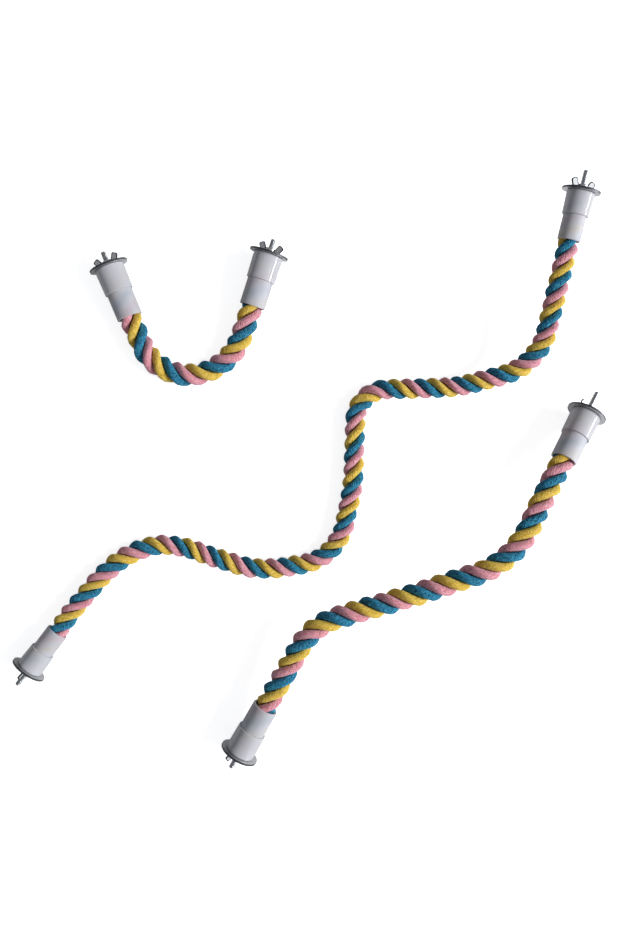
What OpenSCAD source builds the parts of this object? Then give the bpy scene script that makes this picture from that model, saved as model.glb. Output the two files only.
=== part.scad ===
// Set of three bendable rope perches for a bird cage: short, medium and long.
// Each perch is a wire core with three cotton strands laid round it. Both of its ends sit in a
// sleeve and a cap, and a bolt through the cap carries two large washers and a wing nut.
// The set lies on a table as it is photographed from above: X to the right, Y up the picture,
// Z up from the table, millimetres.

/* [Short and medium perch] */
// Diameter over the three strands
rope_d = 21; // [17:0.5:23]
// Length in which a strand goes once round the rope
rope_lay = 43.5; // [38:0.5:60]
// Diameter of the wire core
wire_d = 3; // [2:0.5:4]
// Wall of the sleeve on the rope's end
sleeve_wall = 2; // [1.2:0.1:3]
// Wall of the cap at its open rim
cap_wall = 1.4; // [1:0.1:2.5]
// How much thicker the cap's wall is next to its washer
cap_flare = 0.5; // [0.2:0.1:2]
// Length of the cap
cap_len = 26; // [18:1:36]
// From the cap's closed face to the sleeve's mouth
end_len = 53; // [42:1:60]
// How far the two large washers stand out beyond the cap
washer_lip = 4.7; // [2:0.1:7]
// Bolt length beyond the cap's closed face, on the short perch
short_stud_len = 16; // [15:0.5:26]
// Bolt length beyond the cap's closed face, at the medium perch's lower end
medium_low_stud_len = 19; // [15:0.5:26]
// Bolt length beyond the cap's closed face, at the medium perch's upper end
medium_top_stud_len = 26.5; // [15:0.5:30]

/* [Long perch] */
// Diameter over the three strands
long_rope_d = 17.8; // [14:0.2:19]
// Length in which a strand goes once round the rope
long_rope_lay = 37.8; // [32:0.2:50]
// Diameter of the wire core
long_wire_d = 2.8; // [2:0.2:4]
// Wall of the sleeve on the rope's end
long_sleeve_wall = 1.6; // [1:0.1:2.6]
// Wall of the cap at its open rim
long_cap_wall = 1.5; // [1:0.1:2.5]
// How much thicker the cap's wall is next to its washer
long_cap_flare = 0.7; // [0.2:0.1:2]
// Length of the cap
long_cap_len = 22; // [16:1:32]
// From the cap's closed face to the sleeve's mouth
long_end_len = 45.5; // [38:0.5:54]
// How far the two large washers stand out beyond the cap
long_washer_lip = 4.9; // [2:0.1:7]
// Bolt length beyond the cap's closed face
long_stud_len = 20; // [15:0.5:26]

/* [Bolt, washers and wing nut] */
// Thread diameter
stud_d = 5; // [4:0.5:6]
// Thread pitch
thread_pitch = 0.8; // [0.7:0.1:1]
// Depth of the thread
thread_depth = 0.4; // [0.3:0.05:0.5]
// How far the smooth shank inside the cap and washers lies below the thread's crests
shank_relief = 0.3; // [0.1:0.05:0.8]
// Hexagon head across flats
head_af = 8; // [7:0.5:10]
// Height of the head
head_h = 3.5; // [2.5:0.5:5]
// Thickness of one washer
washer_t = 1; // [0.8:0.1:2]
// Wall of the nut's threaded hub
hub_wall = 1.9; // [1.4:0.1:3]
// Height of the hub
hub_h = 4.5; // [3.5:0.5:6]
// Width of one wing
wing_w = 6.2; // [5:0.2:8]
// Length of one wing beyond the hub's shoulder
wing_len = 9.2; // [7:0.2:12]
// Thickness of one wing
wing_t = 1.5; // [1.2:0.1:2.2]
// Lean of each wing away from the bolt, in degrees
wing_lean = 31; // [25:1:45]
// Radius of a wing's outer corners
wing_corner = 1.6; // [0.5:0.1:2.4]

/* [Walls and clearances] */
// Closed end wall of the cap
cap_end_t = 3; // [2:0.5:4]
// Rounded outer edge of the cap and of the sleeve's mouth
edge_chamfer = 0.6; // [0.3:0.1:1]
// Chamfer at the bolt's tip
tip_chamfer = 0.6; // [0.3:0.1:1]
// Unthreaded point at the bolt's tip
tip_len = 5; // [4:0.5:6]
// Gap between pieces that lie flat on each other
flat_gap = 0.1; // [0.05:0.05:0.3]
// Gap all round between the cap and the sleeve
cap_gap = 0.1; // [0.05:0.05:0.2]
// Gap all round between the rope and the sleeve
rope_gap = 0.3; // [0.2:0.05:0.6]
// Gap between two neighbouring strands
strand_gap = 0.4; // [0.3:0.05:0.6]
// Gap all round between the wire and the strands
wire_gap = 0.45; // [0.4:0.05:0.8]
// Gap all round between the bolt and the holes it passes through
hole_gap = 0.2; // [0.15:0.05:0.4]
// Gap between the two halves of a strand at the bend
split_gap = 0.6; // [0.4:0.1:1]

/* [Hidden] */

// Corners of each rope's centre line, from its left or lower end to its right or upper end:
// x, y, z and the radius of the bend at that corner
short_route = [
    [-199.5, 196.5, 20, 0], [-157, 92, 10.8, 50], [-80, 92, 10.8, 57], [-41.5, 208.5, 20, 0]
];
medium_route = [
    [-70, -283.5, 20, 0], [1.5, -156, 36, 64], [190, -92.5, 56, 90], [273, 50.5, 20, 0]
];
long_route = [
    [-279, -201.5, 18.4, 0], [-178, -67, 9.2, 90], [-51, -105, 9.2, 110], [26, -91, 9.2, 54],
    [42, -22, 9.2, 150], [45, 77, 9.2, 32], [140, 77, 22, 120], [220, 99, 36, 56],
    [254.5, 257.5, 62, 0]
];
// Middle of the set's footprint and its lowest point, which are moved to the origin
set_middle = [-1.88, -11.87, 0.26];

// Angle of each rope's first strand where the rope begins
short_strand_angle = 28;
medium_strand_angle = 0;
long_strand_angle = 50;
// A rope bent by hand isn't laid evenly. At distances along it, the angle by which its strands
// are wound ahead of an even lay.
even_wind = [[0, 0]];
long_wind = [
    [0, 35], [60, 35], [140, 0], [180, -8], [250, 22], [300, 10], [410, 58], [440, 58],
    [550, 0], [600, 0], [710, 64], [790, 95], [850, 105]
];
// The straight run or the bend in whose middle each perch is bent further, counted along its
// rope: runs have the even numbers, bends the odd ones
short_bend_index = 2;
medium_bend_index = 1;
long_bend_index = 9;

regular_kit = [
    rope_d, rope_lay, wire_d, sleeve_wall, cap_wall, cap_flare, cap_len, end_len, washer_lip
];
long_kit = [
    long_rope_d, long_rope_lay, long_wire_d, long_sleeve_wall, long_cap_wall, long_cap_flare,
    long_cap_len, long_end_len, long_washer_lip
];
// What a kit gives: radii from the rope outwards, then lengths
function rope_r(kit) = kit[0] / 2;
function wire_r(kit) = kit[2] / 2;
function sleeve_hole_r(kit) = rope_r(kit) + rope_gap;
function sleeve_r(kit) = sleeve_hole_r(kit) + kit[3];
function cap_hole_r(kit) = sleeve_r(kit) + cap_gap;
function cap_rim_r(kit) = cap_hole_r(kit) + kit[4];
function cap_r(kit) = cap_rim_r(kit) + kit[5];
function washer_r(kit) = cap_r(kit) + kit[8];
function lay_of(kit) = kit[1];
function cap_len_of(kit) = kit[6];
function end_len_of(kit) = kit[7];

// A perch: its route, its kit, its first strand's angle, where it is bent further, the bolt
// lengths at its left or lower end and at its other end, and how its strands are wound
short_perch = [
    short_route, regular_kit, short_strand_angle, short_bend_index,
    [short_stud_len, short_stud_len], even_wind
];
medium_perch = [
    medium_route, regular_kit, medium_strand_angle, medium_bend_index,
    [medium_low_stud_len, medium_top_stud_len], even_wind
];
long_perch = [
    long_route, long_kit, long_strand_angle, long_bend_index,
    [long_stud_len, long_stud_len], long_wind
];

pink = "#e79cb0";
yellow = "#e0b23c";
blue = "#1f6f96";
milky = "#e6e8ee";
zinc = "#9a9d9f";
dull_zinc = "#8f8f8c";

strands = 3;
strand_step = 360 / strands;
rings_per_turn = 8;
// Outline of one strand seen along the rope: its last three points lie against the wire
inner_points = 3;
// Angles off the strand's middle, and radii as shares of the rope's
crown_angle = 0;
shoulder_angle = 32;
shoulder_share = 0.93;
groove_share = 0.66;
wire_sides = 8;
bend_step = 6;
round_sides = 72;
stud_r = stud_d / 2;
root_r = stud_r - thread_depth;
shank_r = stud_r - shank_relief;
bore_r = stud_r + hole_gap;
hub_r = bore_r + hub_wall;
stack_t = 2 * washer_t + 2 * flat_gap;
arc_steps = 5;

function unit(v) = v / norm(v);
function spot(corner) = [corner[0], corner[1], corner[2]] - set_middle;
// Length that the bend at corner i takes off each of its two straight runs
function trim(route, i) =
    i == 0 || i == len(route) - 1 ? 0 :
    let (
        back = unit(spot(route[i - 1]) - spot(route[i])),
        ahead = unit(spot(route[i + 1]) - spot(route[i]))
    ) route[i][3] / tan(acos(back * ahead) / 2);
// A straight run: start, direction, inward direction, radius and length
function run(route, i) =
    let (
        start = spot(route[i]),
        way = unit(spot(route[i + 1]) - start),
        length = norm(spot(route[i + 1]) - start) - trim(route, i) - trim(route, i + 1)
    ) [start + way * trim(route, i), way, way, 0, length];
// A bend, in the same form
function bend(route, i) =
    let (
        here = spot(route[i]),
        way = unit(here - spot(route[i - 1])),
        next = unit(spot(route[i + 1]) - here),
        inward = unit(next - way * (next * way))
    ) [here - way * trim(route, i), way, inward, route[i][3],
       route[i][3] * acos(way * next) * PI / 180];
function legs(route) = [
    for (i = [0 : len(route) - 2]) each i == 0 ? [run(route, i)] : [bend(route, i), run(route, i)]
];
function total(list, n) = n <= 0 ? 0 : list[n - 1][4] + total(list, n - 1);
function route_len(route) = let (all = legs(route)) total(all, len(all));
// Point and direction at a distance into one leg
function on_leg(leg, s) =
    leg[3] == 0 ? [leg[0] + leg[1] * s, leg[1]] :
    let (turn = s / leg[3] * 180 / PI)
    [leg[0] + leg[2] * leg[3] * (1 - cos(turn)) + leg[1] * leg[3] * sin(turn),
     leg[1] * cos(turn) + leg[2] * sin(turn)];
function find_leg(list, s, i) =
    i == len(list) - 1 || s <= list[i][4] ? on_leg(list[i], s) :
    find_leg(list, s - list[i][4], i + 1);
function on_route(list, s) = find_leg(list, s, 0);
// Directions across a rope that points along t: to its side, and up
function side_of(t) = unit(cross([0, 0, 1], t));
function up_of(t) = cross(t, side_of(t));
// Distance along the rope of the place where it is bent further
function bend_place(perch) =
    let (all = legs(perch[0])) total(all, perch[3]) + all[perch[3]][4] / 2;

// Depth of the rope's cut end inside the cap
function rope_inset(kit) = cap_end_t + head_h + 2 * flat_gap;
function sector(r) = strand_step / 2 - asin(strand_gap / 2 / r);
// Outline of one strand as angle and radius, anticlockwise from its lower outer edge
function strand_outline(kit) =
    let (
        r = rope_r(kit),
        groove = r * groove_share,
        inner = wire_r(kit) + wire_gap
    )
    [
        [-sector(groove), groove],
        [-shoulder_angle, r * shoulder_share],
        [crown_angle, r],
        [shoulder_angle, r * shoulder_share],
        [sector(groove), groove],
        [sector(inner), inner],
        [crown_angle, inner],
        [-sector(inner), inner]
    ];
function ring(list, s, outline, turn) =
    let (at = on_route(list, s), side = side_of(at[1]), up = up_of(at[1]))
    [for (p = outline) at[0] + p[1] * (side * cos(p[0] + turn) + up * sin(p[0] + turn))];

// Solid through rings of points. Its end faces fan out from the point named centre, and the
// sides from first to last are cut along the other diagonal, so that the facing sides of two
// strands stay parallel.
module skin(rings, centre, first, last) {
    n = len(rings[0]);
    top = len(rings) - 1;
    fan = [for (i = [0 : n - 1]) if (i != centre && (i + 1) % n != centre) i];
    polyhedron(
        points = [for (r = rings) each r],
        faces = concat(
            [for (i = fan) [centre, i, (i + 1) % n]],
            [for (i = fan) [centre + top * n, (i + 1) % n + top * n, i + top * n]],
            [
                for (k = [0 : top - 1], i = [0 : n - 1])
                let (a = k * n + i, b = k * n + (i + 1) % n, c = a + n, d = b + n)
                each i >= first && i <= last ? [[a, c, d], [a, d, b]] : [[a, c, b], [b, c, d]]
            ]
        ),
        convexity = 10
    );
}

// Half a strand, before or after the place where the perch bends
module strand(perch, place, half, tint) {
    kit = perch[1];
    list = legs(perch[0]);
    split = bend_place(perch);
    start = half == 0 ? rope_inset(kit) : split + split_gap / 2;
    end = half == 0 ? split - split_gap / 2 : route_len(perch[0]) - rope_inset(kit);
    steps = ceil((end - start) / (lay_of(kit) / rings_per_turn));
    outline = strand_outline(kit);
    inner_middle = len(outline) - 2;
    outer_edge = len(outline) - inner_points - 1;
    color(tint)
    skin(
        [
            for (k = [0 : steps])
            let (
                s = start + (end - start) * k / steps,
                wound = 360 * s / lay_of(kit) + lookup(s, perch[5])
            )
            ring(list, s, outline, perch[2] - place * strand_step + wound)
        ],
        inner_middle, outer_edge, inner_middle
    );
}

// Wire core, from one cut end of the rope to the other
module wire(perch) {
    kit = perch[1];
    list = legs(perch[0]);
    start = rope_inset(kit);
    end = route_len(perch[0]) - start;
    outline = [for (i = [0 : wire_sides - 1]) [i * 360 / wire_sides, wire_r(kit)]];
    places = [
        for (i = [0 : len(list) - 1])
        let (steps = list[i][3] == 0 ? 1 : ceil(list[i][4] / bend_step))
        for (k = [0 : steps - 1])
        if (i > 0) total(list, i) + list[i][4] * k / steps
    ];
    color(zinc)
    skin([for (s = concat([start], places, [end])) ring(list, s, outline, 0)], 0, 0, -1);
}

// Puts a piece drawn about Z on one end of a perch, with its zero on the cap's closed face, Z out
// of the rope, X level with the table
module at_end(perch, end) {
    list = legs(perch[0]);
    at = on_route(list, end == 0 ? 0 : route_len(perch[0]));
    out = end == 0 ? -at[1] : at[1];
    x = side_of(out);
    y = cross(out, x);
    multmatrix([
        [x[0], y[0], out[0], at[0][0]],
        [x[1], y[1], out[1], at[0][1]],
        [x[2], y[2], out[2], at[0][2]],
        [0, 0, 0, 1]
    ]) children();
}

// Soft translucent sleeve that grips the rope
module sleeve(perch, end) {
    kit = perch[1];
    r = sleeve_r(kit);
    hole = sleeve_hole_r(kit);
    mouth = -end_len_of(kit);
    top = -rope_inset(kit);
    color(milky) at_end(perch, end) rotate_extrude($fn = round_sides) polygon([
        [hole, mouth], [r - edge_chamfer, mouth], [r, mouth + edge_chamfer], [r, top], [hole, top]
    ]);
}

// Stepped cap pushed over the sleeve, with the bolt's hole in its closed end
module cap(perch, end) {
    kit = perch[1];
    r = cap_r(kit);
    rim = cap_rim_r(kit);
    hole = cap_hole_r(kit);
    mouth = -cap_len_of(kit);
    color(milky) at_end(perch, end) rotate_extrude($fn = round_sides) polygon([
        [bore_r, 0], [r - edge_chamfer, 0], [r, -edge_chamfer], [rim, mouth + edge_chamfer],
        [rim - edge_chamfer, mouth], [hole, mouth], [hole, -cap_end_t], [bore_r, -cap_end_t]
    ]);
}

// Hexagon bolt, whose head is trapped between the rope's end and the cap's end wall
module bolt(perch, end) {
    tip = perch[4][end];
    under_head = -cap_end_t - flat_gap;
    thread_start = stack_t;
    turns = floor((tip - tip_len - thread_start) / thread_pitch);
    thread_end = thread_start + turns * thread_pitch;
    color(zinc) at_end(perch, end) {
        translate([0, 0, under_head - head_h]) cylinder(h = head_h, d = head_af / cos(30), $fn = 6);
        translate([0, 0, under_head]) rotate_extrude($fn = round_sides) polygon(concat(
            [[0, 0], [shank_r, 0], [shank_r, thread_start - under_head]],
            [
                for (i = [0 : turns - 1])
                each [
                    [root_r, thread_start - under_head + i * thread_pitch],
                    [stud_r, thread_start - under_head + (i + 1 / 2) * thread_pitch]
                ]
            ],
            [
                [root_r, thread_end - under_head], [stud_r, thread_end - under_head],
                [stud_r, tip - tip_chamfer - under_head],
                [stud_r - tip_chamfer, tip - under_head], [0, tip - under_head]
            ]
        ));
    }
}

// Large washer, the first or the second of the stack
module washer(perch, end, place) {
    color(zinc) at_end(perch, end) rotate_extrude($fn = round_sides)
    translate([bore_r, flat_gap + place * (washer_t + flat_gap)])
    square([washer_r(perch[1]) - bore_r, washer_t]);
}

// Outline of one wing beside the bolt: out from the bolt, and along it
function wing_outline() =
    let (
        foot = [(bore_r + hub_r) / 2, 0],
        shoulder = [foot[0], hub_h / 2],
        along = [sin(wing_lean), cos(wing_lean)],
        across = [cos(wing_lean), -sin(wing_lean)],
        inner = shoulder + along * wing_len,
        outer = inner + across * wing_w,
        low = outer - along * (outer[1] / cos(wing_lean)),
        first = outer - across * wing_corner - along * wing_corner,
        second = inner + across * wing_corner - along * wing_corner
    )
    concat(
        [foot, low],
        [
            for (k = [0 : arc_steps])
            let (a = 90 * k / arc_steps)
            first + wing_corner * (across * cos(a) + along * sin(a))
        ],
        [
            for (k = [0 : arc_steps])
            let (a = 90 + 90 * k / arc_steps)
            second + wing_corner * (across * cos(a) + along * sin(a))
        ],
        [shoulder]
    );

// Wing nut on the washers, its wings turned by an angle from level with the table
module wing_nut(perch, end, turn) {
    color(dull_zinc) at_end(perch, end) translate([0, 0, stack_t + flat_gap]) rotate(turn) {
        rotate_extrude($fn = round_sides) polygon([
            [bore_r, 0], [hub_r, 0], [hub_r, hub_h - edge_chamfer],
            [hub_r - edge_chamfer, hub_h], [bore_r, hub_h]
        ]);
        for (face = [0, 180]) rotate(face) rotate([90, 0, 0])
        translate([0, 0, -wing_t / 2]) linear_extrude(wing_t) polygon(wing_outline());
    }
}

// Angle of each wing nut's wings at rest, from level with the table
short_left_wing_angle = -10;
short_right_wing_angle = -15;
medium_low_wing_angle = -42;
medium_top_wing_angle = 25;
long_low_wing_angle = -81;
long_top_wing_angle = 20;

strand(short_perch, 0, 0, pink);  // short_pink_left
strand(short_perch, 1, 0, yellow);  // short_yellow_left
strand(short_perch, 2, 0, blue);  // short_blue_left
strand(short_perch, 0, 1, pink);  // short_pink_right
strand(short_perch, 1, 1, yellow);  // short_yellow_right
strand(short_perch, 2, 1, blue);  // short_blue_right
wire(short_perch);  // short_wire
sleeve(short_perch, 0);  // short_left_sleeve
cap(short_perch, 0);  // short_left_cap
bolt(short_perch, 0);  // short_left_bolt
washer(short_perch, 0, 0);  // short_left_inner_washer
washer(short_perch, 0, 1);  // short_left_outer_washer
wing_nut(short_perch, 0, short_left_wing_angle);  // short_left_wing_nut
sleeve(short_perch, 1);  // short_right_sleeve
cap(short_perch, 1);  // short_right_cap
bolt(short_perch, 1);  // short_right_bolt
washer(short_perch, 1, 0);  // short_right_inner_washer
washer(short_perch, 1, 1);  // short_right_outer_washer
wing_nut(short_perch, 1, short_right_wing_angle);  // short_right_wing_nut

strand(medium_perch, 0, 0, pink);  // medium_pink_low
strand(medium_perch, 1, 0, yellow);  // medium_yellow_low
strand(medium_perch, 2, 0, blue);  // medium_blue_low
strand(medium_perch, 0, 1, pink);  // medium_pink_top
strand(medium_perch, 1, 1, yellow);  // medium_yellow_top
strand(medium_perch, 2, 1, blue);  // medium_blue_top
wire(medium_perch);  // medium_wire
sleeve(medium_perch, 0);  // medium_low_sleeve
cap(medium_perch, 0);  // medium_low_cap
bolt(medium_perch, 0);  // medium_low_bolt
washer(medium_perch, 0, 0);  // medium_low_inner_washer
washer(medium_perch, 0, 1);  // medium_low_outer_washer
wing_nut(medium_perch, 0, medium_low_wing_angle);  // medium_low_wing_nut
sleeve(medium_perch, 1);  // medium_top_sleeve
cap(medium_perch, 1);  // medium_top_cap
bolt(medium_perch, 1);  // medium_top_bolt
washer(medium_perch, 1, 0);  // medium_top_inner_washer
washer(medium_perch, 1, 1);  // medium_top_outer_washer
wing_nut(medium_perch, 1, medium_top_wing_angle);  // medium_top_wing_nut

strand(long_perch, 0, 0, pink);  // long_pink_low
strand(long_perch, 1, 0, blue);  // long_blue_low
strand(long_perch, 2, 0, yellow);  // long_yellow_low
strand(long_perch, 0, 1, pink);  // long_pink_top
strand(long_perch, 1, 1, blue);  // long_blue_top
strand(long_perch, 2, 1, yellow);  // long_yellow_top
wire(long_perch);  // long_wire
sleeve(long_perch, 0);  // long_low_sleeve
cap(long_perch, 0);  // long_low_cap
bolt(long_perch, 0);  // long_low_bolt
washer(long_perch, 0, 0);  // long_low_inner_washer
washer(long_perch, 0, 1);  // long_low_outer_washer
wing_nut(long_perch, 0, long_low_wing_angle);  // long_low_wing_nut
sleeve(long_perch, 1);  // long_top_sleeve
cap(long_perch, 1);  // long_top_cap
bolt(long_perch, 1);  // long_top_bolt
washer(long_perch, 1, 0);  // long_top_inner_washer
washer(long_perch, 1, 1);  // long_top_outer_washer
wing_nut(long_perch, 1, long_top_wing_angle);  // long_top_wing_nut
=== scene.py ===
# %% [markdown]
# Three rope perches for a bird cage lie on a white table: a short one bent to a U, a long one with
# five bends and a medium one with two. Each is a rope of three cotton strands round a steel wire.
# At both ends the rope is gripped by a milky plastic sleeve under a stepped cap, and a bolt through
# the cap carries two large washers and a stamped wing nut, which clamp a bar of the cage.
#
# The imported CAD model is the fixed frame. Sizes below are in millimetres, as such goods are
# measured, and a mesh is turned into metres when it is made.

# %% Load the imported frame
import math

import bmesh
import bpy
import numpy as np
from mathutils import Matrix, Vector, noise


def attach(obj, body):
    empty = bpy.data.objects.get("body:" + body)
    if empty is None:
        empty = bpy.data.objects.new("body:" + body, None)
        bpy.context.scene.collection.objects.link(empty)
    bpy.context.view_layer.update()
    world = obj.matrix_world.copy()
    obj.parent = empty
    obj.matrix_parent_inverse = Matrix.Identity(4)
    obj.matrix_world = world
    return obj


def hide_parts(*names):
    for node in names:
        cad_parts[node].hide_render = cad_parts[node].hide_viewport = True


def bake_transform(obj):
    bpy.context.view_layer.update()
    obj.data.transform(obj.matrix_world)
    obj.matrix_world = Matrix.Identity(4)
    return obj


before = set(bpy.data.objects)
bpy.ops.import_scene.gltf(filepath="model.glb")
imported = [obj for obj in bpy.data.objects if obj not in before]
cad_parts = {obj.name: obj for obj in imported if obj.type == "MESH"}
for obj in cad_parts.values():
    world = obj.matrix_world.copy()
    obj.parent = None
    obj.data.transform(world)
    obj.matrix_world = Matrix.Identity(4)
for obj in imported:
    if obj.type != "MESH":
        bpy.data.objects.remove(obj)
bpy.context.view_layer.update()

MM = 0.001

# %% [markdown]
# The camera comes first, since it decides what has to be seen. The photograph was taken straight
# from above: both U arms keep their width, and washers show as thin ellipses that open towards its
# edges. A focal length of 850 pixels in a picture 931 pixels high, from 862 mm above the table,
# gives all six ellipses within a pixel.

# %% Camera above the table
PHOTO_HEIGHT, FOCAL_PIXELS = 931, 850
SENSOR_WIDTH = 36
CAMERA_PLACE = (1.88, 11.87, 861.74)


def put_in_scene(name, data):
    thing = bpy.data.objects.new(name, data)
    bpy.context.scene.collection.objects.link(thing)
    return thing


# Blender lays the sensor's width along the picture's longer side, which is its height here
camera_data = bpy.data.cameras.new("camera_above_table")
camera_data.sensor_width = SENSOR_WIDTH
camera_data.lens = SENSOR_WIDTH * FOCAL_PIXELS / PHOTO_HEIGHT
camera = put_in_scene("camera_above_table", camera_data)
camera.location = Vector(CAMERA_PLACE) * MM
bpy.context.scene.camera = camera
print(f"camera: {camera_data.lens:.1f} mm lens, {camera.location.z:.3f} m above the table")

# %% [markdown]
# Colours are written as sRGB hex, as a colour picker shows them. Shaders work with linear light, so
# one function converts them. A second one adds a node with its settings and what goes into it, so
# each material reads as a list of ingredients.

# %% Colour and node helpers
WHITE = (1, 1, 1, 1)
# A mix node knows its inputs by number: its share, and the colours that it goes from and to
SHARE, FROM, TO = 0, 6, 7


def linear(hex_code):
    parts = [int(hex_code[i:i + 2], 16) / 255 for i in (1, 3, 5)]
    return [c / 12.92 if c <= 0.04045 else ((c + 0.055) / 1.055) ** 2.4 for c in parts] + [1.0]


def add_node(tree, kind, inputs=None, **settings):
    """A new node. An input that is given as a node takes that node's first output in use."""
    node = tree.nodes.new(kind)
    for name, value in settings.items():
        setattr(node, name, value)
    for name, value in (inputs or {}).items():
        if isinstance(value, bpy.types.Node):
            value = next(socket for socket in value.outputs if socket.enabled)
        if isinstance(value, bpy.types.NodeSocket):
            tree.links.new(value, node.inputs[name])
        else:
            node.inputs[name].default_value = value
    return node


def empty_material(name):
    material = bpy.data.materials.new(name)
    material.use_nodes = True
    material.node_tree.nodes.clear()
    return material, material.node_tree


def finish_material(material, surface):
    add_node(material.node_tree, "ShaderNodeOutputMaterial", {"Surface": surface})
    print("material:", material.name, "with", len(material.node_tree.nodes), "nodes")
    return material


print("middle grey in linear light:", [round(c, 3) for c in linear("#808080")])

# %% [markdown]
# The table is a plain white sheet. In the photograph it was lifted to pure white, and the soft
# shadows stayed as a faint grey. A sheet with some light of its own does the same: it lifts light
# and shadow alike, so only the deepest shadow shows. The sheet throws less light back at the ropes
# than it shows, so their shaded sides stay as deep as they are in the photograph, and the washers
# mirror it as a light grey.

# %% White table
TABLE_HALF = 6
LIFT_TO_WHITE, GLOW_IN_MIRRORS = 0.76, 0.15
# The sheet lies a hair under the ropes, so that no two surfaces share a plane
TABLE_HEIGHT = -0.3


def white_table():
    material, tree = empty_material("white_card")
    grain = add_node(tree, "ShaderNodeTexNoise", {"Scale": 60, "Detail": 4})
    paper = add_node(tree, "ShaderNodeMix", {
        SHARE: grain, FROM: linear("#f4f4f4"), TO: linear("#f7f7f7")}, data_type="RGBA")
    seen = add_node(tree, "ShaderNodeBsdfDiffuse", {"Color": paper})
    lift = add_node(tree, "ShaderNodeEmission", {"Color": WHITE, "Strength": LIFT_TO_WHITE})
    lifted = add_node(tree, "ShaderNodeAddShader", {0: seen, 1: lift})
    dim = add_node(tree, "ShaderNodeBsdfDiffuse", {"Color": linear("#d8d8da")})
    faint = add_node(tree, "ShaderNodeEmission", {"Color": WHITE, "Strength": GLOW_IN_MIRRORS})
    glow = add_node(tree, "ShaderNodeAddShader", {0: dim, 1: faint})
    path = add_node(tree, "ShaderNodeLightPath").outputs
    thrown = add_node(tree, "ShaderNodeMixShader", {
        0: path["Is Glossy Ray"], 1: dim, 2: glow})
    both = add_node(tree, "ShaderNodeMixShader", {
        0: path["Is Camera Ray"], 1: thrown, 2: lifted})
    finish_material(material, both)

    mesh = bpy.data.meshes.new("table_top")
    mesh.from_pydata([(x * TABLE_HALF, y * TABLE_HALF, 0)
                      for x, y in ((-1, -1), (1, -1), (1, 1), (-1, 1))], [], [(0, 1, 2, 3)])
    mesh.materials.append(material)
    table = put_in_scene("table_top", mesh)
    table.location.z = TABLE_HEIGHT * MM


white_table()

# %% [markdown]
# The shadows fall to the left and a little up, so the key light is a large soft box to the right,
# 37 degrees above the table. The gloss tells the rest of the room. Three caps carry a narrow
# white stripe, and by the mirror law each shows one low, wide window straight to the right, which
# the other three can't see. The wings of the long perch's upper nut are white and mirror the
# bright wall over that window. The short perch's wings mirror the upper left and are mid grey,
# and the left side of each bolt is nearly black, so the room is grey overhead and dark near the
# horizon. The window is far brighter than what it would light, so only mirrors see it, and the
# key box does the lighting.

# %% Studio light
LIGHT_DISTANCE = 4.2
WALL_WAY = (0.95, -0.31, 0)
WALL_LIGHT, MORE_IN_MIRRORS = 0.5, 0.7
HORIZON_LIGHT, CEILING_LIGHT = 0.03, 0.32


def soft_box(name, azimuth, elevation, size, power, mirrored):
    azimuth, elevation = math.radians(azimuth), math.radians(elevation)
    place = LIGHT_DISTANCE * Vector((math.cos(elevation) * math.cos(azimuth),
                                     math.cos(elevation) * math.sin(azimuth), math.sin(elevation)))
    data = bpy.data.lights.new(name, "AREA")
    data.shape = "RECTANGLE"
    data.size, data.size_y = size
    data.energy = power
    light = put_in_scene(name, data)
    light.location = place
    light.rotation_euler = (-place).to_track_quat("-Z", "Y").to_euler()
    light.visible_glossy = mirrored
    light.visible_diffuse = not mirrored


def room_with_window():
    room = bpy.data.worlds.new("room_with_window")
    room.use_nodes = True
    tree = room.node_tree
    tree.nodes.clear()
    way = add_node(tree, "ShaderNodeTexCoord").outputs["Generated"]
    height = add_node(tree, "ShaderNodeSeparateXYZ", {"Vector": way}).outputs["Z"]
    ceiling = add_node(tree, "ShaderNodeMapRange", {
        "Value": height, "From Min": 0.1, "From Max": 0.9, "To Min": HORIZON_LIGHT,
        "To Max": CEILING_LIGHT}, interpolation_type="SMOOTHSTEP")
    facing = add_node(tree, "ShaderNodeVectorMath", {0: way, 1: WALL_WAY}, operation="DOT_PRODUCT")
    wall = add_node(tree, "ShaderNodeMapRange", {
        "Value": facing, "From Min": 0.45, "From Max": 0.85}, interpolation_type="SMOOTHSTEP")
    path = add_node(tree, "ShaderNodeLightPath").outputs
    wall_power = add_node(tree, "ShaderNodeMath", {
        0: path["Is Glossy Ray"], 1: MORE_IN_MIRRORS, 2: WALL_LIGHT},
        operation="MULTIPLY_ADD")
    strength = add_node(tree, "ShaderNodeMath", {0: wall, 1: wall_power, 2: ceiling},
                        operation="MULTIPLY_ADD")
    around = add_node(tree, "ShaderNodeBackground", {
        "Color": linear("#f6f9ff"), "Strength": strength})
    behind = add_node(tree, "ShaderNodeBackground", {"Color": WHITE, "Strength": 1})
    both = add_node(tree, "ShaderNodeMixShader", {
        0: path["Is Camera Ray"], 1: around, 2: behind})
    add_node(tree, "ShaderNodeOutputWorld", {"Surface": both})
    return room


soft_box("key_soft_box", azimuth=-9, elevation=37, size=(1.9, 0.9), power=184, mirrored=False)
soft_box("window_in_mirrors", azimuth=-3, elevation=10, size=(2.8, 0.5), power=110, mirrored=True)
bpy.context.scene.world = room_with_window()
view = bpy.context.scene.view_settings
view.view_transform, view.look = "Standard", "None"
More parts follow.
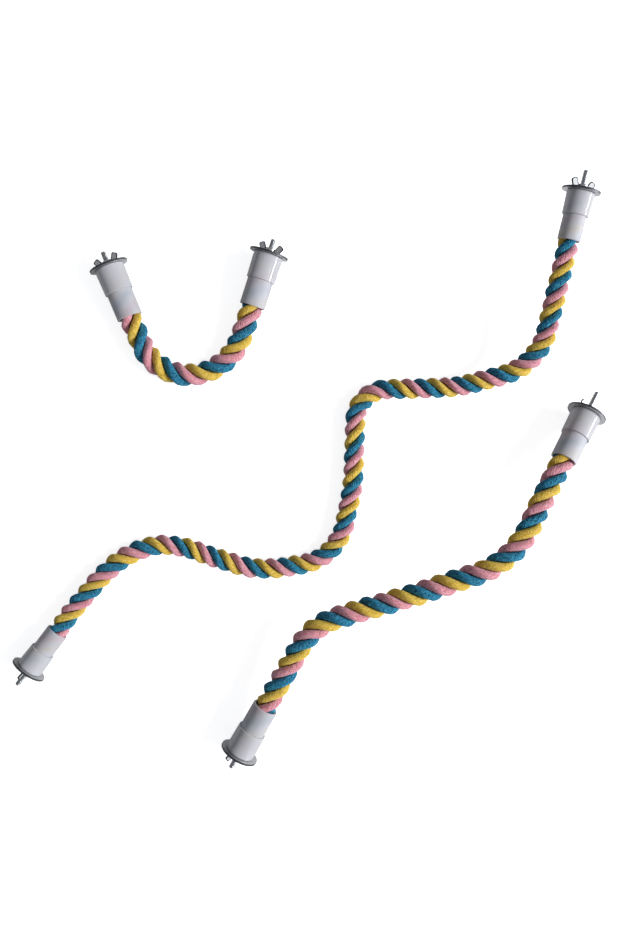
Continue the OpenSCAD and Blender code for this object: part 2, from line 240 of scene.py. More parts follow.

# %% [markdown]
# A rope's route is what a person bends by hand: straight runs joined by round bends. It is given by
# the corners that the runs would meet in, and the radius of the bend at each corner. The CAD part
# has the same points, so what is made here stands exactly where the imported solids are.
# The perches stay bent because of their wire, so they are stiff pieces and not free cords.

# %% Routes of the three ropes
SET_MIDDLE = np.array([-1.88, -11.87, 0.26])
SHORT_ROUTE = [
    (-199.5, 196.5, 20, 0), (-157, 92, 10.8, 50), (-80, 92, 10.8, 57), (-41.5, 208.5, 20, 0)]
MEDIUM_ROUTE = [
    (-70, -283.5, 20, 0), (1.5, -156, 36, 64), (190, -92.5, 56, 90), (273, 50.5, 20, 0)]
LONG_ROUTE = [
    (-279, -201.5, 18.4, 0), (-178, -67, 9.2, 90), (-51, -105, 9.2, 110), (26, -91, 9.2, 54),
    (42, -22, 9.2, 150), (45, 77, 9.2, 32), (140, 77, 22, 120), (220, 99, 36, 56),
    (254.5, 257.5, 62, 0)]


def unit(vector):
    return vector / np.linalg.norm(vector)


def legs_of(route):
    """Runs and bends in order, each as start, direction, inward direction, radius, length."""
    spots = [np.array(corner[:3]) - SET_MIDDLE for corner in route]
    ways = [unit(b - a) for a, b in zip(spots, spots[1:])]
    turns = [0] + [math.acos(a @ b) for a, b in zip(ways, ways[1:])] + [0]
    trims = [corner[3] * math.tan(turn / 2) for corner, turn in zip(route, turns)]
    legs = []
    for i, way in enumerate(ways):
        if i:
            before = ways[i - 1]
            inward = unit(way - before * (way @ before))
            radius = route[i][3]
            legs.append((spots[i] - before * trims[i], before, inward, radius, radius * turns[i]))
        length = np.linalg.norm(spots[i + 1] - spots[i]) - trims[i] - trims[i + 1]
        legs.append((spots[i] + way * trims[i], way, way, 0, length))
    return legs


def on_route(legs, distance):
    """Point and direction of travel at a distance along the route."""
    for start, way, inward, radius, length in legs:
        if distance <= length or start is legs[-1][0]:
            break
        distance -= length
    if not radius:
        return start + way * distance, way
    turn = distance / radius
    return (start + inward * radius * (1 - math.cos(turn)) + way * radius * math.sin(turn),
            way * math.cos(turn) + inward * math.sin(turn))


def across(direction):
    """The two directions across a rope: level to its side, and up."""
    side = unit(np.cross((0, 0, 1), direction))
    return side, np.cross(direction, side)


print("bends:", [len(route) - 2 for route in (SHORT_ROUTE, MEDIUM_ROUTE, LONG_ROUTE)])

# %% [markdown]
# Two kits of sizes serve three perches, because the long one is slimmer in the photograph. The one
# cue for real size is the fastening. Perches of this kind have washers of about 39 mm, and theirs
# measure 39 pixels, so a pixel is a millimetre at the table and the bolts are M5.

# %% Sizes of the perches
REGULAR_KIT = dict(rope=21, lay=43.5, wire=3, sleeve=25.6, cap=29.6, rim=28.6, cap_len=26,
                   end_len=53, washer=39, swell=0.95)
LONG_KIT = dict(rope=17.8, lay=37.8, wire=2.8, sleeve=21.6, cap=26.2, rim=24.8, cap_len=22,
                end_len=45.5, washer=36, swell=1.3)
STUD_R, THREAD_PITCH, THREAD_DEPTH, SHANK_R, BORE_R = 2.5, 0.8, 0.4, 2.2, 2.7
HEAD_ACROSS_FLATS, HEAD_HIGH = 8, 3.5
WASHER_THICK, FLAT_GAP, CAP_END, ROPE_GAP, SLEEVE_GAP = 1, 0.1, 3, 0.3, 0.1
ROPE_INSET = CAP_END + HEAD_HIGH + 2 * FLAT_GAP
STACK = 2 * (WASHER_THICK + FLAT_GAP)

# A rope bent by hand isn't laid evenly. At distances along it, the angle by which its strands
# are wound ahead of an even lay.
EVEN_WIND = [(0, 0)]
LONG_WIND = [(0, 35), (60, 35), (140, 0), (180, -8), (250, 22), (300, 10), (410, 58), (440, 58),
             (550, 0), (600, 0), (710, 64), (790, 95), (850, 105)]

# Nor does it lie quite on its runs and bends: distances, and how far its middle is to the left.
SHORT_SWAY = [(53, 0), (80, 0.4), (140, -1.3), (205, 1), (241, 0)]
MEDIUM_SWAY = [(53, 0), (184, 0.3), (249, -1.3), (292, -0.3), (358, -0.8), (423, 0.3), (457, 0)]
LONG_SWAY = [(45, 0), (64, 0.8), (121, -1.6), (178, 1.9), (240, -0.7), (348, -2.2), (400, -0.5),
             (518, -1.2), (594, -0.2), (650, -2), (710, -1.6), (783, -0.9), (803, 0)]

# Name, route, kit, angle of the first strand and how it is wound, strand colours in order round
# the rope, its two ends, and the leg in whose middle it is bent further, with half the length
# that bends. Each end has the angle of its wings and how far its bolt stands out.
PERCHES = [
    dict(name="short", route=SHORT_ROUTE, kit=REGULAR_KIT, first=28, wind=EVEN_WIND,
         sway=SHORT_SWAY, colours=("pink", "yellow", "blue"),
         ends={"left": (-10, 16), "right": (-15, 16)}, bent_leg=2, soft_half=38),
    dict(name="medium", route=MEDIUM_ROUTE, kit=REGULAR_KIT, first=0, wind=EVEN_WIND,
         sway=MEDIUM_SWAY, colours=("pink", "yellow", "blue"),
         ends={"low": (-42, 19), "top": (25, 26.5)}, bent_leg=1, soft_half=45),
    dict(name="long", route=LONG_ROUTE, kit=LONG_KIT, first=50, wind=LONG_WIND,
         sway=LONG_SWAY, colours=("pink", "blue", "yellow"),
         ends={"low": (-81, 20), "top": (20, 20)}, bent_leg=9, soft_half=38),
]
for perch in PERCHES:
    perch["legs"] = legs_of(perch["route"])
    perch["length"] = sum(leg[4] for leg in perch["legs"])
    print(f"{perch['name']} rope: {perch['length']:.0f} mm between its caps' closed faces")


def wound(perch, distance):
    """Angle of the first strand at a distance along the rope, in radians."""
    places, ahead = zip(*perch["wind"])
    return math.radians(perch["first"] + 360 * distance / perch["kit"]["lay"]
                        + np.interp(distance, places, ahead))


# %% [markdown]
# Cotton rope is soft and matt. Hundreds of short fibres stand off each yarn and catch the light at
# the edges, which is what sheen in the shader stands for. Real hairs would take long to render, and
# the exported model would lose them. The dye is a little uneven, and here and there a bit of husk or
# a knot shows as a dark fleck. The furrows between yarns are painted darker than their backs, and
# the creases between strands darker still: both are painted shade. Light also wanders a millimetre
# or two through the loose fibres, which keeps a strand's shaded side full of colour. All of it
# follows a UV map that the strands get when they are made: U runs along the yarn in centimetres, V
# counts yarns across, and the painted crease shade follows how deep a point lies in the rope. So one
# fibre pattern serves every bend.

# %% Dyed cotton
YARN_MAP = "along_yarns"
DEPTH_MAP = "depth_in_rope"


def dyed_cotton(name, dye, pale, deep_dye_and_shade, dark):
    """Cotton in a dye, with its pale fibres, a deep tone for uneven dye, flecks and painted shade in
    the furrows, and the dark of painted shade in its creases.
    """
    material, tree = empty_material(name)
    uv = add_node(tree, "ShaderNodeUVMap", uv_map=YARN_MAP)
    yarns = add_node(tree, "ShaderNodeSeparateXYZ", {"Vector": uv}).outputs["Y"]

    # Fibres are 4 mm long and a ninth of a yarn (0.2 mm) wide. Dye takes unevenly over some 12 mm,
    # and felted tufts are 2 to 3 mm. Flecks of husk and lint are drawn at 0.7 mm, coarser than
    # real, so that they show at a pixel.
    patterns = {}
    for word, squeeze, detail, roughness, distortion in (
            ("fibres", (2.5, 9, 1), 3, 0.6, 0.4), ("clouds", (0.8, 0.35, 1), 2, 0.5, 0),
            ("tufts", (4, 0.9, 1), 2, 0.5, 0), ("flecks", (14, 2.4, 1), 1, 0.5, 0)):
        place = add_node(tree, "ShaderNodeMapping", {"Vector": uv, "Scale": squeeze})
        patterns[word] = add_node(tree, "ShaderNodeTexNoise", {
            "Vector": place, "Scale": 1, "Detail": detail, "Roughness": roughness,
            "Distortion": distortion})
    # V is whole in the furrow between two yarns, and half way to the next it is on a yarn's back
    wave = add_node(tree, "ShaderNodeMath", {0: yarns, 1: math.pi}, operation="MULTIPLY")
    sine = add_node(tree, "ShaderNodeMath", {0: wave}, operation="SINE")
    patterns["backs"] = add_node(tree, "ShaderNodeMath", {0: sine}, operation="ABSOLUTE")
    # Deep in the creases between strands the colour is darkened as painted shade, where the fibres
    # shade each other
    depth = add_node(tree, "ShaderNodeAttribute", attribute_name=DEPTH_MAP)
    patterns["depth"] = depth.outputs["Fac"]

    # Between two values of each pattern, its share of the colour goes from one value to another
    shares = {}
    for word, low, high, share_at_low, share_at_high in (
            ("fibres", 0.34, 0.68, 0, 1), ("clouds", 0.35, 0.75, 0, 0.3),
            ("tufts", 0.42, 0.66, 0, 0.42), ("backs", 0, 0.5, 0.34, 0),
            ("flecks", 0.54, 0.64, 0, 0.85), ("depth", 0.35, 0.49, 0, 0.94)):
        shares[word] = add_node(tree, "ShaderNodeMapRange", {
            "Value": patterns[word], "From Min": low, "From Max": high,
            "To Min": share_at_low, "To Max": share_at_high})
    # Each yarn is a shade of its own, and tufts and clouds don't add up
    yarn = add_node(tree, "ShaderNodeMath", {0: yarns}, operation="FLOOR")
    shade = add_node(tree, "ShaderNodeTexWhiteNoise", {"W": yarn}, noise_dimensions="1D")
    tufted = add_node(tree, "ShaderNodeMath", {0: shade, 1: 0.14, 2: shares["tufts"]},
                      operation="MULTIPLY_ADD")
    uneven = add_node(tree, "ShaderNodeMath", {0: shares["clouds"], 1: tufted},
                      operation="MAXIMUM")
    colour = linear(dye)
    # The deep colour also paints shade into the furrows between yarns, and the dark one paints shade
    # into the creases between strands
    for share, tone in ((shares["fibres"], pale), (uneven, deep_dye_and_shade), (shares["backs"], deep_dye_and_shade),
                        (shares["flecks"], deep_dye_and_shade), (shares["depth"], dark)):
        colour = add_node(tree, "ShaderNodeMix", {SHARE: share, FROM: colour, TO: linear(tone)},
                          data_type="RGBA")

    height = add_node(tree, "ShaderNodeMath", {
        0: patterns["fibres"], 1: 0.6, 2: patterns["backs"]}, operation="MULTIPLY_ADD")
    relief = add_node(tree, "ShaderNodeBump", {
        "Strength": 0.9, "Distance": 0.3 * MM, "Height": height})
    cotton = add_node(tree, "ShaderNodeBsdfPrincipled", {
        "Base Color": colour, "Roughness": 0.95, "Specular IOR Level": 0.1,
        "Sheen Weight": 0.06, "Sheen Roughness": 0.45, "Sheen Tint": linear(pale),
        "Diffuse Roughness": 1, "Subsurface Weight": 0.85, "Subsurface Radius": (1, 1, 1),
        "Subsurface Scale": 3.4 * MM, "Normal": relief})
    return finish_material(material, cotton)


# Each cotton's last colour is painted shade for the creases between strands
COTTON = {
    "pink": dyed_cotton("pink_dyed_cotton", "#df93a2", "#f9d3d9", "#ab5263", "#3c131a"),
    "yellow": dyed_cotton("yellow_dyed_cotton", "#ebc335", "#fbe792", "#a17a0c", "#3c2e05"),
    "blue": dyed_cotton("blue_dyed_cotton", "#03335a", "#62d2fc", "#021424", "#01070e"),
}

# %% [markdown]
# Each strand is a bundle of some sixteen soft yarns. Three bent tubes would show gaps and no
# yarns, so a strand has its own outline: a round back that is pressed flat where it meets its
# neighbours, and hollow where it lies on the wire. It is smoothed a little, because cotton has no
# sharp corners.

# %% Outline of one strand
YARNS = 16
POINTS_PER_YARN = 3
DRAWN_POINTS, OUTLINE_POINTS = 120, 720
STRAND_GAP, WIRE_GAP, CORNER_SOFTNESS = 0.3, 0.45, 0.8
# The round back's radius, as a share of the rope's
BACK_SHARE = 0.49


def strand_outline(kit):
    """Closed outline as many points of (towards the crown, to the side), in millimetres."""
    rope_r = kit["rope"] / 2
    back_r = BACK_SHARE * rope_r
    back_middle = rope_r - back_r
    inner_r = kit["wire"] / 2 + WIRE_GAP

    def edge(radius):
        return math.pi / 3 - math.asin(STRAND_GAP / 2 / radius)

    # The back ends in the groove, 60 degrees from the crown. 0.75 is that angle's sine, squared
    groove_r = back_middle / 2 + math.sqrt(back_r ** 2 - 0.75 * back_middle ** 2)
    outer = [(back_middle * math.cos(a) + math.sqrt(back_r ** 2 - (back_middle * math.sin(a)) ** 2),
              a) for a in np.linspace(-edge(groove_r), edge(groove_r), DRAWN_POINTS)]
    face = [(r, edge(r)) for r in np.linspace(groove_r, inner_r, DRAWN_POINTS // 2)[1:]]
    hollow = np.linspace(edge(inner_r), -edge(inner_r), DRAWN_POINTS // 4)[1:]
    inner = [(inner_r, a) for a in hollow]
    back_face = [(r, -a) for r, a in reversed(face[:-1])]
    loop = np.array([(r * math.cos(a), r * math.sin(a))
                     for r, a in outer + face + inner + back_face])
    steps = np.linalg.norm(np.roll(loop, -1, 0) - loop, axis=1)
    places = np.concatenate([[0], np.cumsum(steps)])
    closed = np.vstack([loop, loop[:1]])
    even = np.linspace(0, places[-1], OUTLINE_POINTS + 1)[:-1]
    loop = np.stack([np.interp(even, places, closed[:, k]) for k in (0, 1)], 1)
    reach = int(CORNER_SOFTNESS / places[-1] * OUTLINE_POINTS)
    return sum(np.roll(loop, k, 0) for k in range(-reach, reach + 1)) / (2 * reach + 1)


for kit in (REGULAR_KIT, LONG_KIT):
    kit["outline"] = strand_outline(kit)
    kit["girth"] = np.linalg.norm(np.roll(kit["outline"], -1, 0) - kit["outline"], axis=1).sum()
    print(f"strand of a {kit['rope']} mm rope: {kit['girth']:.1f} mm round, "
          f"{kit['girth'] / YARNS:.1f} mm a yarn")

# %% [markdown]
# In a laid rope the three strands wind one way and the yarns in them the other way, so that the
# yarns you see run along the rope. The mesh is made as the rope maker makes it: the outline is
# swept along the route while it turns once a lay, and its points slide round it the other way. So
# every third line of points stays in a furrow, and the yarns are real ridges with few faces.
#
# Hand-made rope isn't even, so the strands swell and shrink slowly by a few hundredths and wander
# by a few degrees.

# %% Sweep the strands
RING_STEP = 1.4
POINTS_ROUND = YARNS * POINTS_PER_YARN
# A yarn's ridge in millimetres, and the share of it that lies below the outline
RIDGE, RIDGE_BELOW = 0.34, 0.6
LUMP = 0.3
# Each slow change of a strand has a size and a length along the rope. The wander is in degrees,
# the growth is a share and the rest is in millimetres.
SWELL, SWELL_LENGTH = 0.25, 55
WANDER, WANDER_LENGTH = 5, 45
GROWTH, GROWTH_LENGTH = 0.07, 40
SEED_STEP = 7.31
# In the sleeve the rope fills this share of the gap, and it swells within 5 mm of the mouth
GRIP_SHARE, MOUTH_FADE = 0.8, 5
# The rope is pressed flat at this height, where it lies on the table
LYING_HEIGHT = 0.05


def slow_noise(distance, length, seed):
    return noise.noise(Vector((distance / length, seed * SEED_STEP, 0.5)))


def felted_lumps(rings, seed):
    """Soft random bumps, one value a mesh point, as cotton felts up in use."""
    lumps = np.random.default_rng(seed).standard_normal((rings, POINTS_ROUND))
    for axis in (0, 1):
        lumps = (np.roll(lumps, 1, axis) + 2 * lumps + np.roll(lumps, -1, axis)) / 4
    return np.clip(lumps, -1, 1) * LUMP


def strand_rings(perch, place, seed, ring_count):
    """Rings of points along one strand, and how deep in the rope each point lies."""
    kit, start = perch["kit"], ROPE_INSET
    end = perch["length"] - ROPE_INSET
    outline, rope_r = kit["outline"], kit["rope"] / 2
    normals = np.roll(outline, -1, 0) - np.roll(outline, 1, 0)
    normals = np.stack([normals[:, 1], -normals[:, 0]], 1)
    normals /= np.linalg.norm(normals, axis=1)[:, None]
    # A yarn on the strand's crown runs along the rope, so points slide back by the crown's travel
    slide = math.pi * kit["rope"] / kit["lay"] / kit["girth"]
    columns = np.arange(POINTS_ROUND)
    ridge = np.abs(np.sin(np.pi * columns / POINTS_PER_YARN)) - RIDGE_BELOW
    middle = np.array((rope_r - BACK_SHARE * rope_r, 0))
    lumps = felted_lumps(ring_count + 1, seed)
    rings, depths = [], []
    for ring in range(ring_count + 1):
        s = start + (end - start) * ring / ring_count
        at, way = on_route(perch["legs"], s)
        side, up = across(way)
        at = at + side * np.interp(s, *zip(*perch["sway"]))
        from_mouth = min(s, perch["length"] - s) - kit["end_len"]
        free = min(max(from_mouth / MOUTH_FADE, 0), 1)
        spot = (columns / POINTS_ROUND - slide * s) % 1 * len(outline)
        low = spot.astype(int) % len(outline)
        high = (low + 1) % len(outline)
        mix = (spot % 1)[:, None]
        flat = outline[low] * (1 - mix) + outline[high] * mix
        flat = flat + normals[low] * (ridge * RIDGE + free * lumps[ring])[:, None]
        growth = 1 + free * GROWTH * slow_noise(s, GROWTH_LENGTH, 60 + seed)
        flat = middle + (flat - middle) * growth
        depths.append(1 - np.linalg.norm(flat, axis=1) / rope_r)
        swollen = ((1 - free) * GRIP_SHARE * ROPE_GAP
                   + free * (kit["swell"] + SWELL * slow_noise(s, SWELL_LENGTH, seed)))
        flat = flat * (1 + swollen / rope_r)
        angle = wound(perch, s) - math.radians(120 * place)
        angle += math.radians(free * WANDER * slow_noise(s, WANDER_LENGTH, 20 + seed))
        crown = side * math.cos(angle) + up * math.sin(angle)
        beside = up * math.cos(angle) - side * math.sin(angle)
        swept = at + flat[:, :1] * crown + flat[:, 1:] * beside
        swept[:, 2] = np.maximum(swept[:, 2], LYING_HEIGHT)
        rings.append(swept)
    return np.concatenate(rings), np.concatenate(depths)


print("points round a strand:", POINTS_ROUND)

# %% [markdown]
# A mesh is points and faces. A strand, a wire and a bolt are all tubes, so one function lists the
# faces of each. A strand then gets two maps. One runs along the yarns and carries the cotton's
# pattern. The other is for baking: a strand is far longer than wide, so it is folded into rows
# that fill a square picture.

# %% Meshes and maps of the strands
# A yarn winds through the strand, so it is longer than the rope that it lies in
YARN_TRAVEL = 1.15
MM_PER_U = 10
# Strands start this far apart in the pattern, so that no two look alike
PATTERN_SHIFT = 100
BAKE_EDGE, BAKE_FILL, ROW_EDGE, END_SPOT = 0.01, 0.98, 0.04, 0.999


def make_mesh(name, verts, faces, material, smooth_angle=None):
    mesh = bpy.data.meshes.new(name)
    mesh.from_pydata([tuple(v) for v in np.asarray(verts) * MM], [], faces)
    mesh.materials.append(material)
    mesh.shade_smooth()
    if smooth_angle:
        mesh.set_sharp_from_angle(angle=math.radians(smooth_angle))
    mesh.update()
    return put_in_scene(name, mesh)


def tube_faces(rings, around, first=0):
    """Faces of a tube through rings of points: its wall, then both closed ends."""
    wall = [(k + i, k + (i + 1) % around, k + around + (i + 1) % around, k + around + i)
            for k in range(first, first + (rings - 1) * around, around) for i in range(around)]
    last = first + (rings - 1) * around
    return wall + [tuple(range(first, first + around))[::-1], tuple(range(last, last + around))]


def strand_maps(mesh, ring_count, ring_travel, girth, seed):
    rows = max(1, math.ceil(math.sqrt(ring_count * ring_travel / girth)))
    shift = PATTERN_SHIFT * seed
    pattern, baking = [], []
    for k in range(ring_count):
        row = k * rows // ring_count
        row_start = -(-row * ring_count // rows)
        for i in range(POINTS_ROUND):
            for dk, di in ((0, 0), (0, 1), (1, 1), (1, 0)):
                pattern += [(k + dk) * ring_travel / MM_PER_U + shift, (i + di) / POINTS_PER_YARN]
                along_row = (k + dk - row_start) / (ring_count / rows + 1)
                across_row = ROW_EDGE + (1 - 2 * ROW_EDGE) * (i + di) / POINTS_ROUND
                baking += [BAKE_EDGE + BAKE_FILL * along_row,
                           (row + across_row) / rows * BAKE_FILL + BAKE_EDGE / 2]
    # Nobody sees a strand's flat ends, so they share one spot
    pattern += [shift, 0.5] * 2 * POINTS_ROUND
    baking += [END_SPOT, END_SPOT] * 2 * POINTS_ROUND
    for name, values in ((YARN_MAP, pattern), ("OFBake", baking)):
        mesh.uv_layers.new(name=name).data.foreach_set("uv", values)
    mesh.uv_layers.active = mesh.uv_layers[YARN_MAP]


def strand(perch, place, seed):
    colour, kit = perch["colours"][place], perch["kit"]
    length = perch["length"] - 2 * ROPE_INSET
    ring_count = math.ceil(length / RING_STEP)
    verts, depths = strand_rings(perch, place, seed, ring_count)
    piece = make_mesh(f"{perch['name']}_{colour}_strand", verts,
                      tube_faces(ring_count + 1, POINTS_ROUND), COTTON[colour])
    strand_maps(piece.data, ring_count, length / ring_count * YARN_TRAVEL, kit["girth"], seed)
    depth = piece.data.attributes.new(DEPTH_MAP, "FLOAT", "POINT")
    depth.data.foreach_set("value", depths)
    return piece


strands = {}
for index, perch in enumerate(PERCHES):
    for place, colour in enumerate(perch["colours"]):
        strands[perch["name"], colour] = piece = strand(perch, place, 3 * index + place)
        first_end, second_end = perch["ends"]
        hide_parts(f"{perch['name']}_{colour}_{first_end}",
                    f"{perch['name']}_{colour}_{second_end}")
    print(f"{perch['name']} strands: {len(piece.data.vertices)} points each")

# %% [markdown]
# All the metal is steel with a coat of zinc, too thin to hide the marks of the tool: lines run
# round a turned or punched disc, and along a drawn or stamped strip. An even grey would look like
# paint, so these lines break up the gloss, and the zinc's spangle changes its grey every 4 mm.

# %% Zinc-plated steel
def zinc_plated_steel(name, pale, dark, roughness, stretch, metallic=1):
    """Steel with a thin bright zinc coat: grey, half-sharp reflections, fine lines of the tool."""
    material, tree = empty_material(name)
    place = add_node(tree, "ShaderNodeTexCoord").outputs
    lines_place = add_node(tree, "ShaderNodeMapping", {"Vector": place["UV"], "Scale": stretch})
    lines = add_node(tree, "ShaderNodeTexNoise", {
        "Vector": lines_place, "Scale": 1, "Detail": 4, "Roughness": 0.65})
    spangle = add_node(tree, "ShaderNodeTexNoise", {
        "Vector": place["Object"], "Scale": 260, "Detail": 3})
    colour = add_node(tree, "ShaderNodeMix", {
        SHARE: spangle, FROM: linear(pale), TO: linear(dark)}, data_type="RGBA")
    rough = add_node(tree, "ShaderNodeMapRange", {
        "Value": lines, "From Min": 0.3, "From Max": 0.7,
        "To Min": roughness - 0.08, "To Max": roughness + 0.1})
    relief = add_node(tree, "ShaderNodeBump", {
        "Strength": 0.35, "Distance": 0.05 * MM, "Height": lines})
    steel = add_node(tree, "ShaderNodeBsdfPrincipled", {
        "Base Color": colour, "Metallic": metallic, "Specular IOR Level": 0.5 * metallic,
        "Roughness": rough, "Normal": relief})
    return finish_material(material, steel)


# UV is in turns or in millimetres across, so the stretch gives grain of 0.2 to 0.4 mm
DRAWN_WIRE = zinc_plated_steel("drawn_galvanised_wire", "#a7a9ab", "#7d8082", 0.5, (3, 0.2, 1))
PUNCHED_WASHER = zinc_plated_steel(
    "zinc_plated_punched_steel", "#cdcece", "#afb1b2", 0.36, (1.5, 3, 1))
ROLLED_THREAD = zinc_plated_steel(
    "zinc_plated_rolled_thread", "#e0e2e4", "#c2c4c6", 0.26, (2, 2, 1))
STAMPED_WING = zinc_plated_steel(
    "bright_zinc_stamped_steel", "#e4e5e5", "#cccdce", 0.17, (0.8, 3, 1))
# The press shears a sheet's edge, which stays rough and takes the zinc badly, so a washer's rim is
# grey. The edges of the polished wings are painted near black and matt, not a metal's mirror:
# painted shade and painted dark reflection along each wing's edges.
SHEARED_RIM = zinc_plated_steel("sheared_washer_rim", "#7c7e81", "#56585b", 0.5, (3, 3, 1))
PAINTED_DARK_EDGE = zinc_plated_steel(
    "painted_dark_edge", "#2c2d30", "#1c1d1f", 0.75, (3, 3, 1), metallic=0)

# %% [markdown]
# The wire core can't be seen, but it is what keeps each perch in its bends: soft galvanised wire,
# 3 mm thick. It is a plain swept circle. Drawn wire has faint lines along it and a dull zinc skin.

# %% Wire cores
WIRE_SIDES, WIRE_STEP = 12, 4
for perch in PERCHES:
    start, stop = ROPE_INSET, perch["length"] - ROPE_INSET
    ring_count = math.ceil((stop - start) / WIRE_STEP)
    verts = []
    for ring in range(ring_count + 1):
        at, way = on_route(perch["legs"], start + (stop - start) * ring / ring_count)
        side, up = across(way)
        for i in range(WIRE_SIDES):
            a = 2 * math.pi * i / WIRE_SIDES
            verts.append(at + (side * math.cos(a) + up * math.sin(a)) * perch["kit"]["wire"] / 2)
    piece = make_mesh(f"{perch['name']}_wire_core", verts, tube_faces(ring_count + 1, WIRE_SIDES),
                      DRAWN_WIRE, smooth_angle=60)
    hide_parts(f"{perch['name']}_wire")
    strands[perch["name"], "wire"] = piece
    print(f"{piece.name}: {ring_count} steps of {(stop - start) / ring_count:.1f} mm")

# %% [markdown]
# Everything at a rope's end is round, apart from the bolt's head and the wings, so it is turned on
# a lathe: a half outline is spun about the bolt's axis. Real edges are never sharp, so an outline's
# corners are rounded. Each end has a place of its own, as in the CAD part: its zero is the cap's
# closed face, Z points out of the rope and X lies level.

# %% Places of the six ends
ENDS = []
for perch in PERCHES:
    for (word, (wing_angle, tip)), at_start in zip(perch["ends"].items(), (True, False)):
        at, way = on_route(perch["legs"], 0 if at_start else perch["length"])
        out = -way if at_start else way
        x = unit(np.cross((0, 0, 1), out))
        ENDS.append(dict(perch=perch, kit=perch["kit"], prefix=f"{perch['name']}_{word}",
                         at_start=at_start, wing_angle=wing_angle, tip=tip,
                         at=at, turn=np.array([x, np.cross(out, x), out]).T))
        print(f"{ENDS[-1]['prefix']} end: {at[2]:.0f} mm above the table")


def placed(end, radius, angle, height):
    """A point beside an end's axis, in the set's millimetres."""
    return end["turn"] @ (radius * math.cos(angle), radius * math.sin(angle), height) + end["at"]


def in_place(end, point):
    """A mesh's point in an end's own millimetres."""
    return end["turn"].T @ (np.array(point) / MM - end["at"])


# %% Lathe with rounded corners
ROUND_SIDES, HUB_SIDES = 96, 48
ARC_POINTS = 5
# A corner's arc takes up less than half of the shorter side
MOST_OF_SIDE = 0.48
LONGEST_STEP = 3
TURNED_MAP = "round_and_along"


def rounded(corners):
    """Outline through (x, y, radius) corners, each rounded by an arc."""
    points = []
    for i, (x, y, radius) in enumerate(corners):
        here = np.array((x, y), float)
        back = np.array(corners[i - 1][:2], float) - here
        ahead = np.array(corners[(i + 1) % len(corners)][:2], float) - here
        if not radius:
            points.append(here)
            continue
        back_len, ahead_len = np.linalg.norm(back), np.linalg.norm(ahead)
        half = math.acos(np.clip(back @ ahead / back_len / ahead_len, -1, 1)) / 2
        trim = min(radius / math.tan(half), MOST_OF_SIDE * back_len, MOST_OF_SIDE * ahead_len)
        a, b = here + back / back_len * trim, here + ahead / ahead_len * trim
        for t in np.linspace(0, 1, ARC_POINTS):
            points.append(a * (1 - t) ** 2 + 2 * here * t * (1 - t) + b * t ** 2)
    return points


def in_steps(profile):
    """The same closed outline with points added where two are far apart."""
    points = []
    for a, b in zip(profile, profile[1:] + profile[:1]):
        steps = max(1, math.ceil(np.linalg.norm(b - a) / LONGEST_STEP))
        points += [a + (b - a) * k / steps for k in range(steps)]
    return points


def lathe(name, corners, end, material, sides=ROUND_SIDES):
    """Spins a closed half outline of (radius, height, corner radius) about an end's axis."""
    profile = in_steps(rounded(corners))
    n = len(profile)
    verts = [placed(end, r, a, z)
             for a in np.arange(sides) * 2 * math.pi / sides for r, z in profile]
    faces = [(k * n + i, (k + 1) % sides * n + i, (k + 1) % sides * n + (i + 1) % n,
              k * n + (i + 1) % n) for k in range(sides) for i in range(n)]
    piece = make_mesh(name, verts, faces, material, smooth_angle=38)
    lengths = np.cumsum([0] + [np.linalg.norm(b - a) for a, b in
                               zip(profile, profile[1:] + profile[:1])])
    uv = [value for k in range(sides) for i in range(n)
          for dk, di in ((0, 0), (1, 0), (1, 1), (0, 1))
          for value in ((k + dk) / sides, lengths[i + di] / MM_PER_U)]
    piece.data.uv_layers.new(name=TURNED_MAP).data.foreach_set("uv", uv)
    return piece


def ring_outline(hole, outer, low, high, corners):
    """A plain ring's half outline. The corner radii go round from the low corner at the hole."""
    return [(r, z, corner) for (r, z), corner in zip(
        ((hole, low), (outer, low), (outer, high), (hole, high)), corners)]


print("steps in a full turn:", ROUND_SIDES)

# %% [markdown]
# The sleeve is a cut length of soft milky tube, and the cap is moulded from the same kind of
# plastic. Both let a little light through. Where a strand's back touches the wall, its dye shows
# as a faint tint, and between strands the wall stays plain, so the tints come and go. They are
# worked out from the strands' own angle: a UV map on the sleeve and the cap holds the turn round
# the rope less the turn of the strands, so one colour band of the map is one strand all the way
# along. The tube was cut and handled, so it is duller than the moulded cap.

# %% Milky plastic
TINT_MAP = "under_strands"
PINK_TINT, YELLOW_TINT, BLUE_TINT = "#cf8593", "#cdb479", "#3f84ab"


